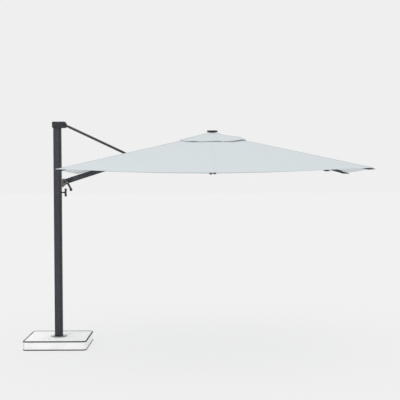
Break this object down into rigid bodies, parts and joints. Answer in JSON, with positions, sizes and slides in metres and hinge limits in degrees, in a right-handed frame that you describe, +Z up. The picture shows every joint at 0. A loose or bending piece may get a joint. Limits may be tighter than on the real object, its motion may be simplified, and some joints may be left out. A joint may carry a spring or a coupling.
{
  "type": "cantilever parasol",
  "caption": "Free-arm garden parasol: square vented canopy hung from a sloping arm on a slotted mast, with a tilting carriage, a crank and a slab base.",
  "frame": {"origin": "on the ground under the mast's axis, at the underside of the base slab", "axes": "+X from the mast towards the canopy, +Z up, +Y away from the side with the crank"},
  "size_m": [3.5658, 3.0316, 2.4745],
  "materials": {
    "anthracite_profile": "powder coated, satin",
    "dark_casting": "powder coated casting, satin",
    "grey_casting": "powder coated casting, satin",
    "black_plastic": "moulded, fine grain",
    "nylon": "moulded",
    "steel": "galvanised",
    "pale_concrete": "cast, smooth",
    "canopy_cloth": "woven, matt"
  },
  "bodies": {
    "base": {"base_slab": "pale_concrete", "base_socket": "steel", "base_collar": "pale_concrete"},
    "mast": {"swivel_foot": "steel", "mast_profile": "anthracite_profile", "mast_head": "dark_casting", "tie_rod_head_pin": "steel"},
    "carriage": {"carriage_block": "dark_casting", "carriage_glide_top": "nylon", "carriage_glide_bottom": "nylon", "arm_bracket": "grey_casting", "arm_hinge_pin": "steel"},
    "locking_handle": {"locking_handle": "black_plastic"},
    "arm": {"arm_root": "dark_casting", "arm_tube": "anthracite_profile", "tie_rod_saddle": "dark_casting", "winch_cover": "dark_casting", "crown_hub": "dark_casting", "centre_post": "anthracite_profile", "finial": "black_plastic"},
    "crank": {"crank_shaft": "steel", "winch_drum": "nylon", "crank_arm": "black_plastic"},
    "crank_knob": {"crank_knob": "black_plastic"},
    "tie_rod": {"tie_rod_tube": "anthracite_profile", "tie_rod_eye": "dark_casting", "tie_rod_fork": "dark_casting"},
    "runner": {"runner": "black_plastic"},
    "rib_right": {"rib_right": "anthracite_profile", "rib_cap_right": "black_plastic", "canopy_right": "canopy_cloth"},
    "rib_back_right": {"rib_back_right": "anthracite_profile", "rib_cap_back_right": "black_plastic", "canopy_back_right": "canopy_cloth"},
    "rib_back": {"rib_back": "anthracite_profile", "rib_cap_back": "black_plastic", "canopy_back": "canopy_cloth"},
    "rib_back_left": {"rib_back_left": "anthracite_profile", "rib_cap_back_left": "black_plastic", "canopy_back_left": "canopy_cloth"},
    "rib_front_left": {"rib_front_left": "anthracite_profile", "rib_cap_front_left": "black_plastic", "canopy_front_left": "canopy_cloth"},
    "rib_front": {"rib_front": "anthracite_profile", "rib_cap_front": "black_plastic", "canopy_front": "canopy_cloth"},
    "rib_front_right": {"rib_front_right": "anthracite_profile", "rib_cap_front_right": "black_plastic", "canopy_front_right": "canopy_cloth"},
    "stay_right": {"stay_right": "anthracite_profile"},
    "stay_back_right": {"stay_back_right": "anthracite_profile"},
    "stay_back": {"stay_back": "anthracite_profile"},
    "stay_back_left": {"stay_back_left": "anthracite_profile"},
    "stay_front_left": {"stay_front_left": "anthracite_profile"},
    "stay_front": {"stay_front": "anthracite_profile"},
    "stay_front_right": {"stay_front_right": "anthracite_profile"}
  },
  "joints": [
    {"name": "mast_swivel", "type": "hinge", "parent": "base", "child": "mast", "pos_m": [0, 0, 0.03], "axis": [0, 0, 1], "continuous": true},
    {"name": "carriage_slide", "type": "slide", "parent": "mast", "child": "carriage", "axis": [0, 0, 1], "range_m": [-0.4, 0]},
    {"name": "arm_hinge", "type": "hinge", "parent": "carriage", "child": "arm", "pos_m": [0.078, 0, 1.812], "axis": [0, -1, 0], "range_deg": [0, 18.65]},
    {"name": "tie_rod_hinge", "type": "hinge", "parent": "mast", "child": "tie_rod", "pos_m": [0.082, 0, 2.4393], "axis": [0, 1, 0], "range_deg": [0, 17.78]},
    {"name": "locking_handle_turn", "type": "hinge", "parent": "carriage", "child": "locking_handle", "pos_m": [0.087, 0, 1.694], "axis": [1, 0, 0], "range_deg": [-90, 180]},
    {"name": "crank_turn", "type": "hinge", "parent": "arm", "child": "crank", "pos_m": [0.113, 0, 1.806], "axis": [0, 1, 0], "continuous": true},
    {"name": "crank_knob_spin", "type": "hinge", "parent": "crank", "child": "crank_knob", "pos_m": [0.158, -0.08, 1.726], "axis": [0, 1, 0], "continuous": true},
    {"name": "runner_slide", "type": "slide", "parent": "arm", "child": "runner", "axis": [0, 0, -1], "range_m": [0, 0.33]},
    {"name": "rib_right_hinge", "type": "hinge", "parent": "arm", "child": "rib_right", "pos_m": [1.77, 0, 2.305], "axis": [0, 1, 0], "range_deg": [0, 54.75], "deforming": ["canopy_right"]},
    {"name": "rib_back_right_hinge", "type": "hinge", "parent": "arm", "child": "rib_back_right", "pos_m": [1.75243, 0.04243, 2.305], "axis": [-0.7071, 0.7071, 0], "range_deg": [0, 59.59], "deforming": ["canopy_back_right"]},
    {"name": "rib_back_hinge", "type": "hinge", "parent": "arm", "child": "rib_back", "pos_m": [1.71, 0.06, 2.305], "axis": [-1, 0, 0], "range_deg": [0, 54.75], "deforming": ["canopy_back"]},
    {"name": "rib_back_left_hinge", "type": "hinge", "parent": "arm", "child": "rib_back_left", "pos_m": [1.66757, 0.04243, 2.305], "axis": [-0.7071, -0.7071, 0], "range_deg": [0, 59.59], "deforming": ["canopy_back_left"]},
    {"name": "rib_front_left_hinge", "type": "hinge", "parent": "arm", "child": "rib_front_left", "pos_m": [1.66757, -0.04243, 2.305], "axis": [0.7071, -0.7071, 0], "range_deg": [0, 59.59], "deforming": ["canopy_front_left"]},
    {"name": "rib_front_hinge", "type": "hinge", "parent": "arm", "child": "rib_front", "pos_m": [1.71, -0.06, 2.305], "axis": [1, 0, 0], "range_deg": [0, 54.75], "deforming": ["canopy_front"]},
    {"name": "rib_front_right_hinge", "type": "hinge", "parent": "arm", "child": "rib_front_right", "pos_m": [1.75243, -0.04243, 2.305], "axis": [0.7071, 0.7071, 0], "range_deg": [0, 59.59], "deforming": ["canopy_front_right"]},
    {"name": "stay_right_hinge", "type": "hinge", "parent": "rib_right", "child": "stay_right", "pos_m": [2.06494, 0, 2.21895], "axis": [0, 1, 0], "range_deg": [-90.02, 0]},
    {"name": "stay_back_right_hinge", "type": "hinge", "parent": "rib_back_right", "child": "stay_back_right", "pos_m": [1.95508, 0.24508, 2.25192], "axis": [-0.7071, 0.7071, 0], "range_deg": [-91.15, 0]},
    {"name": "stay_back_hinge", "type": "hinge", "parent": "rib_back", "child": "stay_back", "pos_m": [1.71, 0.35494, 2.21895], "axis": [-1, 0, 0], "range_deg": [-90.02, 0]},
    {"name": "stay_back_left_hinge", "type": "hinge", "parent": "rib_back_left", "child": "stay_back_left", "pos_m": [1.46492, 0.24508, 2.25192], "axis": [-0.7071, -0.7071, 0], "range_deg": [-91.15, 0]},
    {"name": "stay_front_left_hinge", "type": "hinge", "parent": "rib_front_left", "child": "stay_front_left", "pos_m": [1.46492, -0.24508, 2.25192], "axis": [0.7071, -0.7071, 0], "range_deg": [-91.15, 0]},
    {"name": "stay_front_hinge", "type": "hinge", "parent": "rib_front", "child": "stay_front", "pos_m": [1.71, -0.35494, 2.21895], "axis": [1, 0, 0], "range_deg": [-90.02, 0]},
    {"name": "stay_front_right_hinge", "type": "hinge", "parent": "rib_front_right", "child": "stay_front_right", "pos_m": [1.95508, -0.24508, 2.25192], "axis": [0.7071, 0.7071, 0], "range_deg": [-91.15, 0]}
  ],
  "couplings": [
    {"joint": "arm_hinge", "follows": "carriage_slide", "rad_per_m": -0.8137},
    {"joint": "tie_rod_hinge", "follows": "carriage_slide", "rad_per_m": -0.7759},
    {"joint": "rib_right_hinge", "follows": "runner_slide", "rad_per_m": 2.8956},
    {"joint": "rib_back_right_hinge", "follows": "runner_slide", "rad_per_m": 3.1517},
    {"joint": "rib_back_hinge", "follows": "runner_slide", "rad_per_m": 2.8956},
    {"joint": "rib_back_left_hinge", "follows": "runner_slide", "rad_per_m": 3.1517},
    {"joint": "rib_front_left_hinge", "follows": "runner_slide", "rad_per_m": 3.1517},
    {"joint": "rib_front_hinge", "follows": "runner_slide", "rad_per_m": 2.8956},
    {"joint": "rib_front_right_hinge", "follows": "runner_slide", "rad_per_m": 3.1517},
    {"joint": "stay_right_hinge", "follows": "runner_slide", "rad_per_m": -4.7608},
    {"joint": "stay_back_right_hinge", "follows": "runner_slide", "rad_per_m": -4.8207},
    {"joint": "stay_back_hinge", "follows": "runner_slide", "rad_per_m": -4.7608},
    {"joint": "stay_back_left_hinge", "follows": "runner_slide", "rad_per_m": -4.8207},
    {"joint": "stay_front_left_hinge", "follows": "runner_slide", "rad_per_m": -4.8207},
    {"joint": "stay_front_hinge", "follows": "runner_slide", "rad_per_m": -4.7608},
    {"joint": "stay_front_right_hinge", "follows": "runner_slide", "rad_per_m": -4.8207}
  ]
}
